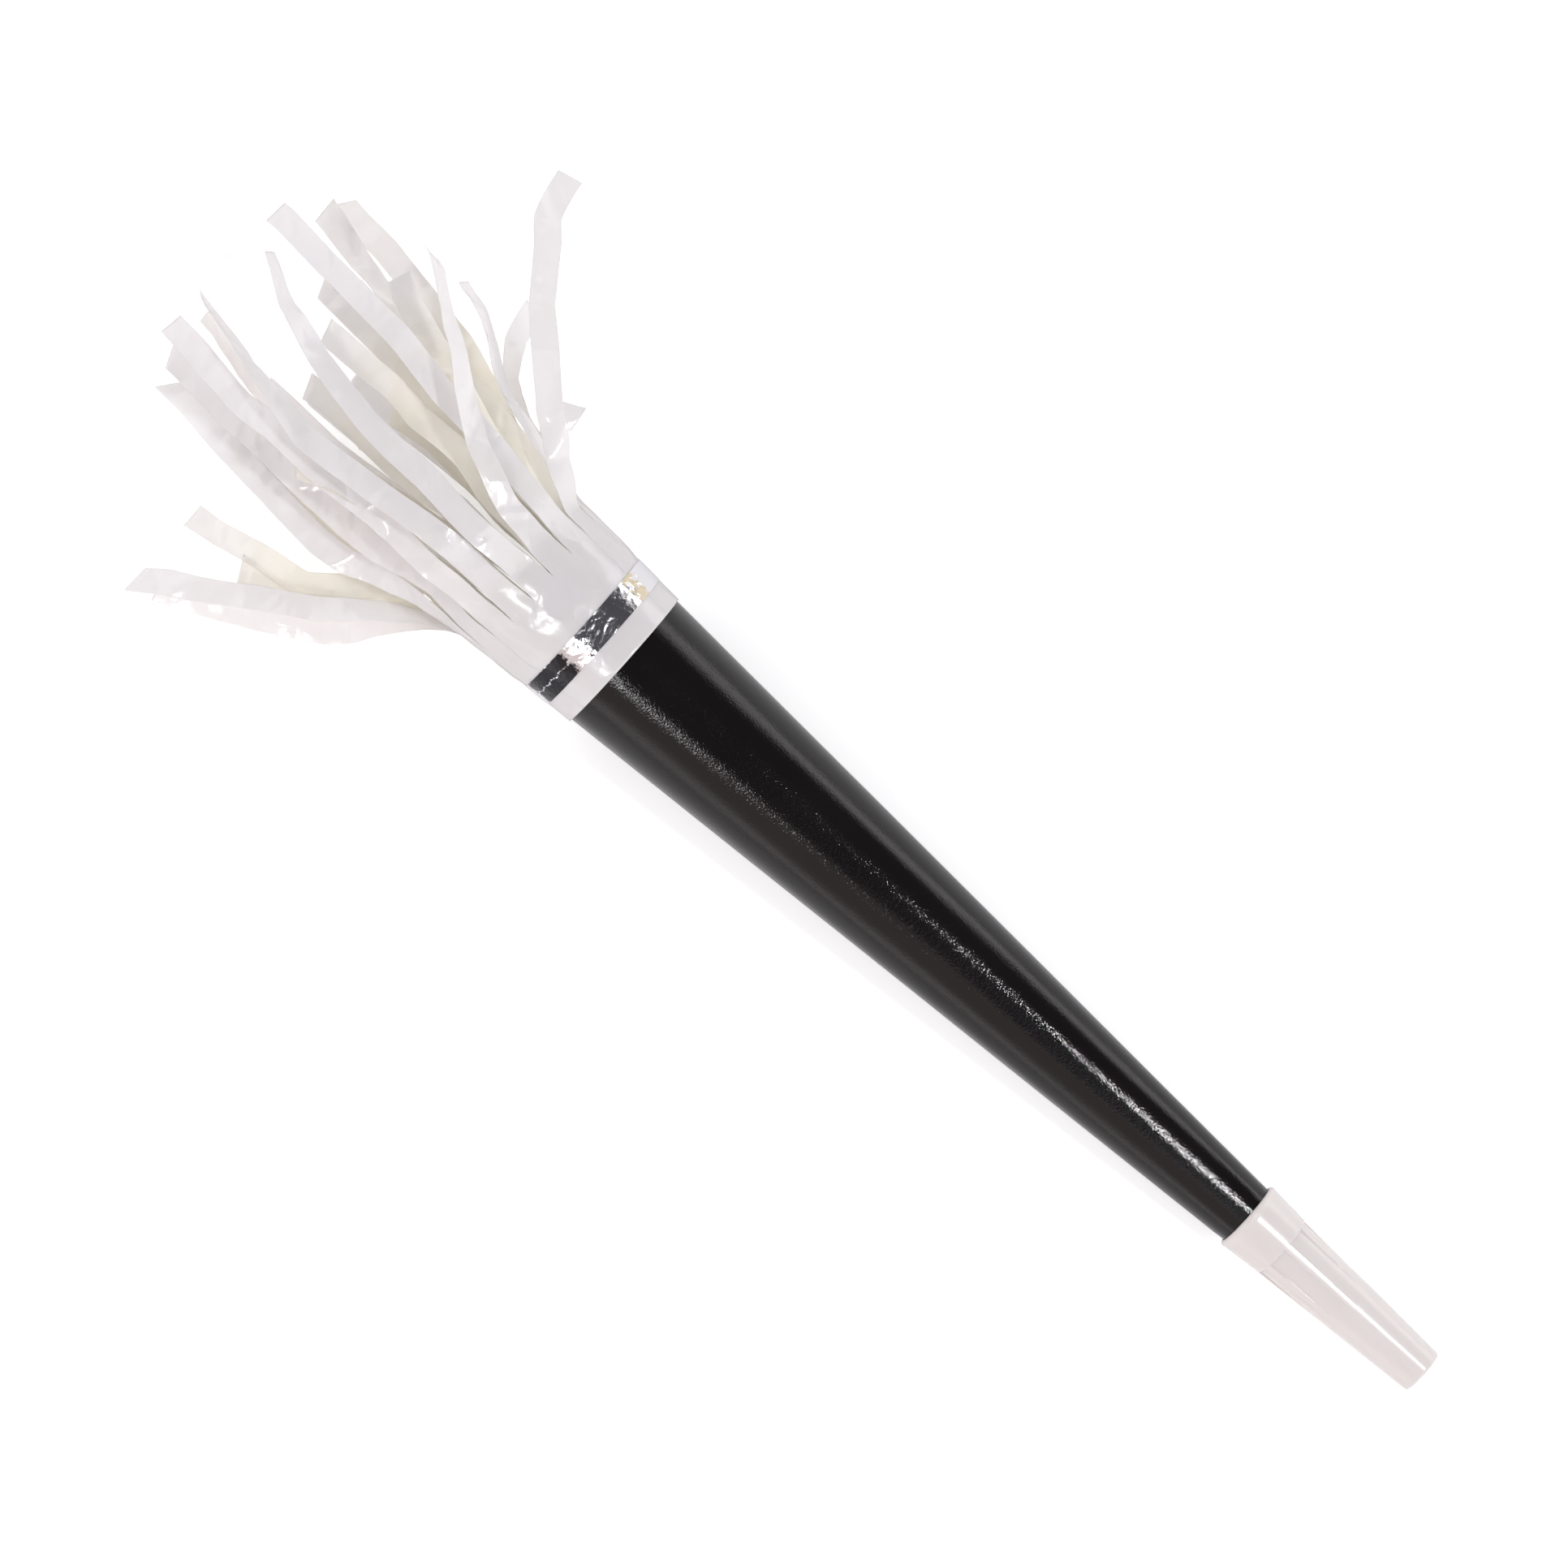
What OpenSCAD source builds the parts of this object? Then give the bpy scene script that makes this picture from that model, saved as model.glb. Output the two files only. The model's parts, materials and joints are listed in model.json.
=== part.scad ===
// Fringed party horn, lying on its side: a rolled card cone in black film, a moulded
// mouthpiece with a reed in it, and two plies of slit film held round the bell by foil tape.
// Origin: centre of the mouthpiece's blowing end. +X runs level, towards the bell, +Z is up.

/* [Cone] */
// Outside diameter of the cone at the bell's rim
bell_d = 38; // [30:0.5:48]
// Outside diameter of the cone where it enters the mouthpiece
throat_d = 15; // [13:0.5:18]
// Length of the cone from the mouthpiece's rim to the bell's rim
cone_l = 210; // [150:5:260]
// Thickness of the rolled card
card_t = 0.5; // [0.3:0.05:1]
// Thickness of the black film bonded to the card
skin_t = 0.12; // [0.08:0.01:0.3]
// Width of the lap where the rolled sheet overlaps itself
lap_w = 8; // [4:1:12]

/* [Mouthpiece] */
// Length of the mouthpiece from its rim to the blowing end
mouth_l = 53.6; // [45:0.2:70]
// Diameter of the blowing end
tip_d = 10.9; // [10:0.1:14]
// Bore that the breath goes in by
breath_d = 7.2; // [5:0.1:8]
// Wall round the cone at the rim
rim_wall = 1.15; // [0.9:0.05:2]
// How far the cone goes into the mouthpiece
socket_l = 12; // [8:0.5:16]
// Bore that holds the reed plug
seat_d = 10.6; // [8.5:0.1:11]
// Number of flats moulded round the body
flat_count = 7; // [6:1:12]
// Depth of each flat where it begins, at its middle
flat_depth = 0.5; // [0.2:0.05:0.6]
// Length over which a flat runs out
flat_l = 19; // [10:1:25]

/* [Reed] */
// Length of the plug that fills the bore
plug_l = 8; // [6:0.5:10]
// Length of the half-round trough under the tongue
trough_l = 14; // [10:0.5:16]
// Outside diameter of the trough
trough_d = 5.4; // [4.5:0.1:6.5]
// Wall of the trough
trough_wall = 0.8; // [0.5:0.1:1]
// Width of the tongue
tongue_w = 4; // [3:0.1:5]
// Thickness of the tongue
tongue_t = 0.15; // [0.1:0.01:0.3]
// How far the tongue stands open at rest, in degrees
tongue_open = 4; // [2:0.5:6]

/* [Fringe] */
// Height of the unslit band on the bell
band_h = 24; // [18:0.5:34]
// How far the band stands past the bell's rim
band_over = 1; // [0:0.5:3]
// Thickness of a ply of film
film_t = 0.15; // [0.1:0.01:0.3]
// How far the longest strips reach past the bell's rim
fringe_reach = 103; // [80:1:130]
// Distance from the band's lower edge to the foil tape
tape_set = 6.2; // [3:0.2:10]
// Width of the foil tape
tape_w = 6.35; // [4:0.05:10]
// Thickness of the foil tape
tape_t = 0.1; // [0.05:0.01:0.2]

/* [Fits] */
// Gap between wrapped layers
wrap_gap = 0.03; // [0.02:0.01:0.1]
// Gap between the two plies of film, which are wound loosely
ply_gap = 0.25; // [0.1:0.01:0.4]
// Gap between the cone and its socket, and the plug and its bore
fit_gap = 0.05; // [0.03:0.01:0.1]
// Gap between the band's edge and a strip that bends from it
root_gap = 0.4; // [0.3:0.1:1]
// Gap between neighbouring strips of a ply at their roots
slit_gap = 0.65; // [0.5:0.05:1]

/* [Hidden] */
$fn = 96;
EPS = 0.01;

// The cone's taper, and the radius of its outside at a distance z from the mouthpiece's rim.
taper = (bell_d - throat_d) / 2 / cone_l;
function cone_r(z) = throat_d / 2 + z * taper;
card_r_drop = skin_t + wrap_gap;
lap_angle = 230;
lap_end_gap = 1.5;

// The mouthpiece's outside, as distances from its rim towards the blowing end.
rim_r = throat_d / 2 + rim_wall;
rim_round = 0.9;
neck_z = 2.2;
neck_r = rim_r - 0.2;
shoulder_z = 11;
shoulder_r = rim_r - 0.85;
tip_r = tip_d / 2;
tip_round = 0.7;
body_taper = (shoulder_r - tip_r) / (mouth_l - shoulder_z);
flat_w = 4.9;
flat_from = 121;
flat_tilt = atan(body_taper) - atan(flat_depth / flat_l);

// The reed sits past the socket: a plug, then its trough.
plug_z = socket_l + 1;
chamber_d = seat_d - 1;
seat_end = plug_z + plug_l;
chamber_end = seat_end + trough_l + 2;
plug_r = seat_d / 2 - fit_gap;
slot_h = 1.7;
slot_w = tongue_w + 0.2;
trough_end_wall = 1.2;
tongue_gap = 0.05;
heel_l = plug_l - 1.5;
hinge_gap = 0.15;

// Radii of the two plies and of the tape, measured on the cone's outside at z.
PLIES = ["inner", "outer"];
function ply_r(ply, z) = cone_r(z) + wrap_gap + ply * (film_t + ply_gap);
function tape_r(z) = ply_r(1, z) + film_t + wrap_gap;
band_z = cone_l + band_over - band_h;
band_top = cone_l + band_over;
tape_z = band_z + tape_set;
tape_top = tape_z + tape_w;

// The horn lies on the mouthpiece's rim and the far edge of the tape.
rim_rest_z = -rim_round;
tape_rest_r = tape_r(tape_top) + tape_t;
lean = atan((tape_rest_r - rim_r) / (tape_top - rim_rest_z));
axis_from = [mouth_l * cos(lean), 0, mouth_l * sin(lean)];
floor_z = (mouth_l + rim_rest_z) * sin(lean) - rim_r * cos(lean);

// A point of the horn's own frame, whose Z is the horn's axis, where it lies.
function laid(p) = axis_from + turned(p);
function turned(p) = [
    p.x * sin(lean) + p.z * cos(lean),
    p.y,
    -p.x * cos(lean) + p.z * sin(lean)
];
module lay() translate(axis_from) rotate([0, 90 - lean, 0]) children();

// Places round the horn are angles from +Y, by way of +Z, which is the top.
module round_horn(angle) rotate([0, 0, angle + 90]) children();
function spoke(angle) = [-sin(angle), cos(angle), 0];

// Strips leave the band side by side, so their width comes from the band's size round.
strip_pitch = 20;
strip_w = 2 * ply_r(0, band_top) * sin(strip_pitch / 2) - slit_gap;
lead_l = 6;

// The foot of the bell: strip points are measured from here, level and up from the floor.
// They are drawn for one bell and one reach, and follow any other.
bell_foot = [laid([0, 0, cone_l]).x, 0, floor_z];
drawn_bell_d = 38;
drawn_reach = 103;
function placed(p) =
    bell_foot + [p.x * fringe_reach / drawn_reach, p.y * bell_d / drawn_bell_d, p.z * bell_d / drawn_bell_d];
sub_steps = 3;

// Strips of each ply, by lock. A strip is [angle of its root, [points]], and a point is
// [out from the bell, to the side, up from the floor, roll of the strip from flat].
LOCKS = ["top", "left", "right", "under"];
TOP_OUTER = [
    [50, [[21, 13, 39, -25], [42, 13, 39, -5], [71, 14, 37, 5], [102, 11, 33, 0]]],
    [70, [[21, 7, 43, -8], [41, 9, 44, 5], [62, 9.5, 42, 20], [82, 7, 40, 60], [101, 2, 37, 75]]],
    [90, [
        [19, 0, 45, 0], [36, -1, 46, 0], [53, -2, 45, 5], [71, -5, 43, 25],
        [85, -9, 41, 65], [96, -15, 38, 80]
    ]],
    [110, [
        [18, -8.5, 43, 15], [31, -14, 45, 30], [45, -23.5, 46, 50], [57, -32, 46, 65],
        [69, -38.5, 44, 75]
    ]],
    [130, [[20, -14.5, 40, 25], [40, -17, 41, 0], [60, -19.5, 41, 0], [81, -21.5, 38, 0], [101, -22.5, 34, -5]]]
];
TOP_INNER = [
    [50, [[22, 13, 34, -35], [43, 13, 33, -40], [65, 11, 30, -50], [85, 7.5, 28, -50], [98, 5, 26, -45]]],
    [70, [[20, 6, 38, -10], [32, 9, 38, 10], [43, 12, 37, 25], [52, 15, 36, 40], [59, 18, 35, 60]]],
    [90, [[19, 0.5, 40, 0], [38, 1, 38, 5], [54, 1.5, 35, 0], [70, 1.5, 33, 0]]],
    [110, [[19, -7.5, 39, 15], [35, -9.5, 38, 20], [50, -10.5, 36, 20], [64, -10, 35, 0], [75, -11, 34, 25]]],
    [130, [[20, -14, 35, 35], [38, -19, 35, 30], [55, -24, 35, 25], [71, -30.5, 33, 30]]]
];
LEFT_OUTER = [
    [30, [[20, 16.5, 29, -45], [39, 18, 29, -10], [59, 18.5, 27, 0], [79, 17.5, 24, 0], [98, 17, 21, 0]]],
    [10, [[20, 20.5, 23, -60], [38, 25, 22, -15], [58, 25, 20, 0], [77, 23.5, 18, 0], [94, 21.5, 17, 0]]],
    [-10, [[18, 24, 16, 55], [32, 34, 15.5, 10], [46, 43, 15, 0], [59, 52, 14, 0], [71, 59.5, 13, 5]]],
    [-30, [[17, 24.5, 8.5, 45], [28, 36.5, 7, 5], [42, 46.5, 6, 0], [55, 53, 6, 0], [66, 58, 6, 0]]]
];
LEFT_INNER = [
    [30, [[19, 15.5, 26, -50], [36, 17, 24, -30], [54, 18, 21, -20], [74, 16.5, 18, -40]]],
    [10, [[20, 17.5, 20.5, -65], [40, 21, 18, -25], [60, 21, 16, -5], [77, 20, 15, 0]]],
    [-10, [[20, 18.5, 13, 80], [32, 27, 12, 35], [42, 34.5, 11, 0], [54, 36.5, 10.5, 15], [71, 40.5, 9, 10]]],
    [-30, [[19, 21, 9, 60], [32, 32, 10, 15], [43, 40, 10, 0], [55, 42, 10, 0]]]
];
RIGHT_OUTER = [
    [150, [
        [16, -23, 34, 30], [26, -29.5, 35, 0], [35, -38.5, 34, -5], [44, -49, 33, 5],
        [55, -62, 31, 0], [57.5, -72.5, 28, 5]
    ]],
    [170, [[19, -22, 22, 65], [31, -26, 22, 60], [41, -30, 21, 60], [50, -35, 20, 70], [60, -39.5, 19, 75]]],
    [190, [[18, -22.5, 14, -75], [29, -26, 12.5, -80], [38, -30, 11, -60], [43, -37, 10, -30], [44, -45, 9, -10]]],
    [210, [[15, -22, 6, -65], [24, -26, 4.5, -75], [27, -31, 4, -40], [21, -34, 3, -10]]]
];
RIGHT_INNER = [
    [150, [[20, -19, 28, 45], [38, -21, 28, 25], [54, -22.5, 27, 20], [74, -26, 24, 45], [94, -30, 21, 5]]],
    [170, [[20, -19.5, 20, 75], [33, -21.5, 18.5, 60], [46, -23.5, 17, 50]]],
    [190, [[20, -19, 11.5, -75], [36, -23.5, 7.5, -40], [52, -29, 6, -10], [72, -32, 6, 0], [93, -34, 6, 0]]],
    [210, [[22, -20, 6.5, -55], [38, -23.5, 4.5, -35], [54, -25, 3.5, -15], [72, -26, 3.5, 0]]]
];
UNDER_OUTER = [
    [230, [[22, -14.5, 1.4, -20], [42, -17, 1, 0], [61, -19, 1, 0], [81, -21, 1, 0]]],
    [250, [[20, -7.5, 0.6, -5], [36, -7.5, 0.5, 0], [51, -7, 0.5, 0], [65, -7.5, 0.5, 0]]],
    [270, [[20, 0.5, 0.4, 0], [38, 0, 0.4, 0], [55, 0.5, 0.4, 0], [67, 1, 0.4, 0]]],
    [290, [[20, 7.5, 0.6, 5], [40, 8, 0.5, 0], [60, 8.5, 0.5, 0], [77, 8.5, 0.5, 0]]],
    [310, [[22, 14.5, 1.4, 20], [40, 16.5, 1, 0], [61, 17.5, 1, 0], [93, 17, 1, 0]]]
];
UNDER_INNER = [
    [230, [[20, -12.5, 6, -35], [40, -14.5, 6.5, -20], [61, -16.5, 5.5, -5], [84, -18, 5, 0]]],
    [250, [[20, -6.5, 4.5, -15], [32, -7.5, 6, -5], [43, -8.5, 8, 0], [53, -7.5, 10, 10]]],
    [270, [[20, 0.5, 3.6, 0], [31, 0, 4, 0], [43, -1, 5, 0], [55, 1, 5, 0]]],
    [290, [[21, 6.5, 4.5, 15], [38, 7.5, 6, 5], [52, 10, 8, 0], [65, 14, 9, 20]]],
    [310, [[20, 12.5, 6, 35], [36, 14.5, 5.5, 20], [50, 15.5, 4.5, 5], [68, 16, 4, 0]]]
];
FRINGE = [
    [TOP_INNER, TOP_OUTER], [LEFT_INNER, LEFT_OUTER],
    [RIGHT_INNER, RIGHT_OUTER], [UNDER_INNER, UNDER_OUTER]
];

function strip_name(ply, angle) = str("strip_", PLIES[ply], "_", (angle + 360) % 360);
STRIPS = [
    for (lock = [0:3]) for (ply = [0:1]) for (s = FRINGE[lock][ply])
        [strip_name(ply, s[0]), ply, s[0], s[1]]
];

// A conical shell round the horn's axis, from z0 to z1, with inside radii r0 and r1.
module shell(z0, r0, z1, r1, t) rotate_extrude() polygon([[r0, z0], [r0 + t, z0], [r1 + t, z1], [r1, z1]]);

module cone_card() color("whitesmoke") lay() {
    inside = -card_r_drop - card_t;
    shell(-socket_l, cone_r(-socket_l) + inside, cone_l, cone_r(cone_l) + inside, card_t);
}

// The skin is the sheet's outer face. Its lap is the free edge of the sheet, which lies on the turn below.
module cone_skin() color("black") lay() {
    shell(-socket_l, cone_r(-socket_l) - skin_t, cone_l, cone_r(cone_l) - skin_t, skin_t);
    lap_z0 = lap_end_gap;
    lap_z1 = band_z - lap_end_gap;
    middle = cone_r((lap_z0 + lap_z1) / 2);
    round_horn(lap_angle) rotate_extrude(angle = lap_w / middle * 180 / PI)
        polygon([
            [cone_r(lap_z0) - EPS, lap_z0], [cone_r(lap_z0) + card_t, lap_z0],
            [cone_r(lap_z1) + card_t, lap_z1], [cone_r(lap_z1) - EPS, lap_z1]
        ]);
}

function arc(c, r, from, to, n) = [for (i = [0:n]) let (a = from + (to - from) * i / n) c + r * [cos(a), sin(a)]];

// Half of the mouthpiece's section: x is the radius and y runs from the blowing end to the rim.
module mouthpiece_section() {
    outside = concat(
        arc([tip_r - tip_round, -mouth_l + tip_round], tip_round, -90, 0, 4),
        [[shoulder_r, -shoulder_z], [neck_r, -neck_z]],
        arc([rim_r - rim_round, -rim_round], rim_round, -30, 90, 6)
    );
    socket_r0 = cone_r(0) + fit_gap;
    socket_r1 = cone_r(-socket_l) + fit_gap;
    inside = [
        [socket_r0, 0], [socket_r1, -socket_l], [seat_d / 2, -socket_l], [seat_d / 2, -seat_end],
        [chamber_d / 2, -seat_end], [chamber_d / 2, -chamber_end],
        [breath_d / 2, -chamber_end], [breath_d / 2, -mouth_l]
    ];
    polygon(concat(outside, inside));
}

// One flat: a block whose inner face dips under the body at the shoulder and runs out of it.
module flat_cutter() {
    block = 6;
    translate([shoulder_r - flat_depth, 0, -shoulder_z])
        rotate([0, flat_tilt, 0])
            translate([0, -flat_w / 2, -flat_l * 1.3])
                cube([block, flat_w, flat_l * 1.3]);
}

module mouthpiece() color("ivory") lay() difference() {
    rotate_extrude() mouthpiece_section();
    for (i = [0:flat_count - 1]) round_horn(flat_from + i * 360 / flat_count) flat_cutter();
}

// The reed's parts are drawn with +X up at rest, so that the tongue lies over the trough.
module reed_frame() lay() rotate([0, 0, 180]) translate([0, 0, -seat_end]) children();

// A bar of the reed: width across, from height y0 to y1, from z0 to z1 along the horn's axis.
module bar(w, y0, y1, z0, z1) translate([y0, -w / 2, z0]) cube([y1 - y0, w, z1 - z0]);

module reed_plug() color("gainsboro") reed_frame() difference() {
    union() {
        cylinder(r = plug_r, h = plug_l);
        difference() {
            translate([0, 0, -trough_l]) cylinder(d = trough_d, h = trough_l + EPS);
            bar(trough_d + 1, 0, trough_d, -trough_l - EPS, 0);
        }
    }
    difference() {
        translate([0, 0, -trough_l + trough_end_wall])
            cylinder(d = trough_d - 2 * trough_wall, h = trough_l + plug_l);
        bar(trough_d, 0, trough_d, -trough_l, plug_l + 1);
    }
    bar(slot_w, 0, slot_h, -EPS, plug_l - 1);
}

module reed_heel() color("silver") reed_frame()
    bar(tongue_w, tongue_gap, tongue_gap + tongue_t, hinge_gap, heel_l);

module reed_wedge() color("gainsboro") reed_frame()
    bar(slot_w - 2 * fit_gap, 2 * tongue_gap + tongue_t, slot_h - fit_gap, hinge_gap, heel_l);

// The tongue turns about the front edge of its heel.
module reed_tongue() color("silver") reed_frame()
    translate([tongue_gap, 0, 0]) rotate([0, -tongue_open, 0])
        bar(tongue_w, 0, tongue_t, -trough_l + 0.4, -hinge_gap);

module band(ply) color("white") lay()
    shell(band_z, ply_r(ply, band_z), band_top, ply_r(ply, band_top), film_t);

module foil_tape() color("silver") lay()
    shell(tape_z, tape_r(tape_z), tape_top, tape_r(tape_top), tape_t);

// Catmull-Rom through b and c, on points that carry their roll as a fourth number.
function curve(a, b, c, d, t) =
    (2 * b + (c - a) * t + (2 * a - 5 * b + 4 * c - d) * t * t + (3 * b - a - 3 * c + d) * t * t * t) / 2;

function unit(v) = v / norm(v);
function xyz(p) = [p.x, p.y, p.z];
// A strip looks the same after half a turn, so its root takes the roll nearest to its first point's.
function root_roll(angle, next) = angle - 90 + 180 * round((next - angle + 90) / 180);

// A strip's centre line: its root on the band's edge, a short lead straight on, then its points.
function strip_knots(ply, angle, points) =
    let (
        z = band_top + root_gap,
        root = laid(spoke(angle) * (ply_r(ply, z) + film_t / 2) + [0, 0, z]),
        way = turned(unit(spoke(angle) * taper + [0, 0, 1])),
        roll = root_roll(angle, points[0][3]),
        lead = root + way * lead_l
    )
    concat(
        [concat(root, roll), concat(lead, roll)],
        [for (p = points) concat(placed(p), p[3])]
    );

function strip_line(knots) =
    let (last = len(knots) - 1)
    [
        for (i = [0:last - 1]) for (k = [0:(i == 0 ? 0 : i == last - 1 ? sub_steps : sub_steps - 1)])
            curve(
                knots[max(i - 1, 0)], knots[i], knots[i + 1],
                i == last - 1 ? 2 * knots[last] - knots[last - 1] : knots[i + 2], k / sub_steps
            )
    ];

// The four corners of the strip's section at each place on its line.
function strip_rings(line) =
    let (last = len(line) - 1)
    [
        for (i = [0:last])
            let (
                ahead = xyz(line[min(i + 1, last)]) - xyz(line[max(i - 1, 0)]),
                way = unit(ahead),
                level = unit(cross(way, [0, 0, 1])),
                over = cross(way, level),
                across = (level * cos(line[i][3]) + over * sin(line[i][3])) * strip_w / 2,
                through = unit(cross(way, across)) * film_t / 2,
                at = xyz(line[i])
            )
            [at - across - through, at + across - through, at + across + through, at - across + through]
    ];

module ribbon(rings) {
    last = len(rings) - 1;
    points = [for (ring = rings) for (p = ring) p];
    sides = [
        for (i = [0:last - 1]) for (k = [0:3])
            let (a = 4 * i + k, b = 4 * i + (k + 1) % 4)
            each k < 2 ? [[a, b, b + 4], [a, b + 4, a + 4]] : [[a, b, a + 4], [b, b + 4, a + 4]]
    ];
    ends = [[0, 2, 1], [0, 3, 2], [4 * last, 4 * last + 1, 4 * last + 2], [4 * last, 4 * last + 2, 4 * last + 3]];
    polyhedron(points, [for (f = concat(sides, ends)) [f[2], f[1], f[0]]]);
}

module strip(ply, angle, points) color("white") ribbon(strip_rings(strip_line(strip_knots(ply, angle, points))));

cone_card();
cone_skin();
mouthpiece();
reed_plug();
reed_wedge();
reed_heel();
reed_tongue();
band(0);  // band_inner
band(1);  // band_outer
foil_tape();
for (s = STRIPS) strip(s[1], s[2], s[3]);
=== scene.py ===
import json
import math

import bmesh
import bpy
import numpy as np
from mathutils import Matrix, Vector


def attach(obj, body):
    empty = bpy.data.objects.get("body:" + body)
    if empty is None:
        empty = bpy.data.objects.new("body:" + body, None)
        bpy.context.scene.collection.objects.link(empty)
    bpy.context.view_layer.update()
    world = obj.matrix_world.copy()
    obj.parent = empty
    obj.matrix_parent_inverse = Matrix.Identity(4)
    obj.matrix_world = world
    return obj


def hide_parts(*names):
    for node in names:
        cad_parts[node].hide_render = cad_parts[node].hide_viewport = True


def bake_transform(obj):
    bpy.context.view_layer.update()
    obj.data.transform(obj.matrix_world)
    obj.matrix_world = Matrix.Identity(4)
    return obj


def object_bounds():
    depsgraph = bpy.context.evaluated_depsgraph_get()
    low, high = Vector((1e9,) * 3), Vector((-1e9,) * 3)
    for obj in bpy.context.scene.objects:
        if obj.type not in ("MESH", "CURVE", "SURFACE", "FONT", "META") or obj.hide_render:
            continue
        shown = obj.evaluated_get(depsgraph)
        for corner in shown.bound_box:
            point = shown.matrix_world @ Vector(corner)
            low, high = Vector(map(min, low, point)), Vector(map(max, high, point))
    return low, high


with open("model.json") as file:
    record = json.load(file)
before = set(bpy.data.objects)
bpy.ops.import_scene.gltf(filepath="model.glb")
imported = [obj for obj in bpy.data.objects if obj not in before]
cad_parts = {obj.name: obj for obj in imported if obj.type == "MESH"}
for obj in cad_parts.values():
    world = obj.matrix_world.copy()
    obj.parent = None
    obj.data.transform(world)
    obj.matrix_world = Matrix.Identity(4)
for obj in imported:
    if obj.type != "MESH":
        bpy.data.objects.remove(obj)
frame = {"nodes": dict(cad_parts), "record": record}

bl_info = {
    "name": "Fringed party horn",
    "version": (1, 0, 0),
    "blender": (4, 5, 0),
    "location": "3D View > Sidebar > Party Horn",
    "description": "Builds a rolled card party horn with a film fringe, lying on a studio floor",
    "category": "Add Mesh",
}

MM = 0.001
CAD_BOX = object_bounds()

# The horn leans a little where it lies, and its bore's axis points out of the mouthpiece.
HORN_WAY = -Vector(frame["record"]["mounts"][0]["axis"])
LEAN = math.atan2(HORN_WAY.z, HORN_WAY.x)
PLIES = ("inner", "outer")
STRIP_PITCH = 20
# Brightness of the whole studio: every light and the surroundings.
STUDIO_LEVEL = 1.32
# How sharply strips bend at their points, from 0 for a smooth curve to 1 for straight runs.
CRISPNESS = 0.6

# Strips of each lock and ply, on the same routes as their solids. A strip is [angle of its root, [points]],
# and a point is [out from the bell, to the side, up from the floor] in millimetres, and its roll in degrees.
TOP_OUTER = [
    [50, [[21, 13, 39, -25], [42, 13, 39, -5], [71, 14, 37, 5], [102, 11, 33, 0]]],
    [70, [[21, 7, 43, -8], [41, 9, 44, 5], [62, 9.5, 42, 20], [82, 7, 40, 60], [101, 2, 37, 75]]],
    [90, [
        [19, 0, 45, 0], [36, -1, 46, 0], [53, -2, 45, 5], [71, -5, 43, 25],
        [85, -9, 41, 65], [96, -15, 38, 80],
    ]],
    [110, [
        [18, -8.5, 43, 15], [31, -14, 45, 30], [45, -23.5, 46, 50], [57, -32, 46, 65],
        [69, -38.5, 44, 75],
    ]],
    [130, [
        [20, -14.5, 40, 25], [40, -17, 41, 0], [60, -19.5, 41, 0], [81, -21.5, 38, 0], [101, -22.5, 34, -5],
    ]],
]
TOP_INNER = [
    [50, [[22, 13, 34, -35], [43, 13, 33, -40], [65, 11, 30, -50], [85, 7.5, 28, -50], [98, 5, 26, -45]]],
    [70, [[20, 6, 38, -10], [32, 9, 38, 10], [43, 12, 37, 25], [52, 15, 36, 40], [59, 18, 35, 60]]],
    [90, [[19, 0.5, 40, 0], [38, 1, 38, 5], [54, 1.5, 35, 0], [70, 1.5, 33, 0]]],
    [110, [[19, -7.5, 39, 15], [35, -9.5, 38, 20], [50, -10.5, 36, 20], [64, -10, 35, 0], [75, -11, 34, 25]]],
    [130, [[20, -14, 35, 35], [38, -19, 35, 30], [55, -24, 35, 25], [71, -30.5, 33, 30]]],
]
LEFT_OUTER = [
    [30, [[20, 16.5, 29, -45], [39, 18, 29, -10], [59, 18.5, 27, 0], [79, 17.5, 24, 0], [98, 17, 21, 0]]],
    [10, [[20, 20.5, 23, -60], [38, 25, 22, -15], [58, 25, 20, 0], [77, 23.5, 18, 0], [94, 21.5, 17, 0]]],
    [-10, [[18, 24, 16, 55], [32, 34, 15.5, 10], [46, 43, 15, 0], [59, 52, 14, 0], [71, 59.5, 13, 5]]],
    [-30, [[17, 24.5, 8.5, 45], [28, 36.5, 7, 5], [42, 46.5, 6, 0], [55, 53, 6, 0], [66, 58, 6, 0]]],
]
LEFT_INNER = [
    [30, [[19, 15.5, 26, -50], [36, 17, 24, -30], [54, 18, 21, -20], [74, 16.5, 18, -40]]],
    [10, [[20, 17.5, 20.5, -65], [40, 21, 18, -25], [60, 21, 16, -5], [77, 20, 15, 0]]],
    [-10, [[20, 18.5, 13, 80], [32, 27, 12, 35], [42, 34.5, 11, 0], [54, 36.5, 10.5, 15], [71, 40.5, 9, 10]]],
    [-30, [[19, 21, 9, 60], [32, 32, 10, 15], [43, 40, 10, 0], [55, 42, 10, 0]]],
]
RIGHT_OUTER = [
    [150, [
        [16, -23, 34, 30], [26, -29.5, 35, 0], [35, -38.5, 34, -5], [44, -49, 33, 5],
        [55, -62, 31, 0], [57.5, -72.5, 28, 5],
    ]],
    [170, [[19, -22, 22, 65], [31, -26, 22, 60], [41, -30, 21, 60], [50, -35, 20, 70], [60, -39.5, 19, 75]]],
    [190, [
        [18, -22.5, 14, -75], [29, -26, 12.5, -80], [38, -30, 11, -60], [43, -37, 10, -30], [44, -45, 9, -10],
    ]],
    [210, [[15, -22, 6, -65], [24, -26, 4.5, -75], [27, -31, 4, -40], [21, -34, 3, -10]]],
]
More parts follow.
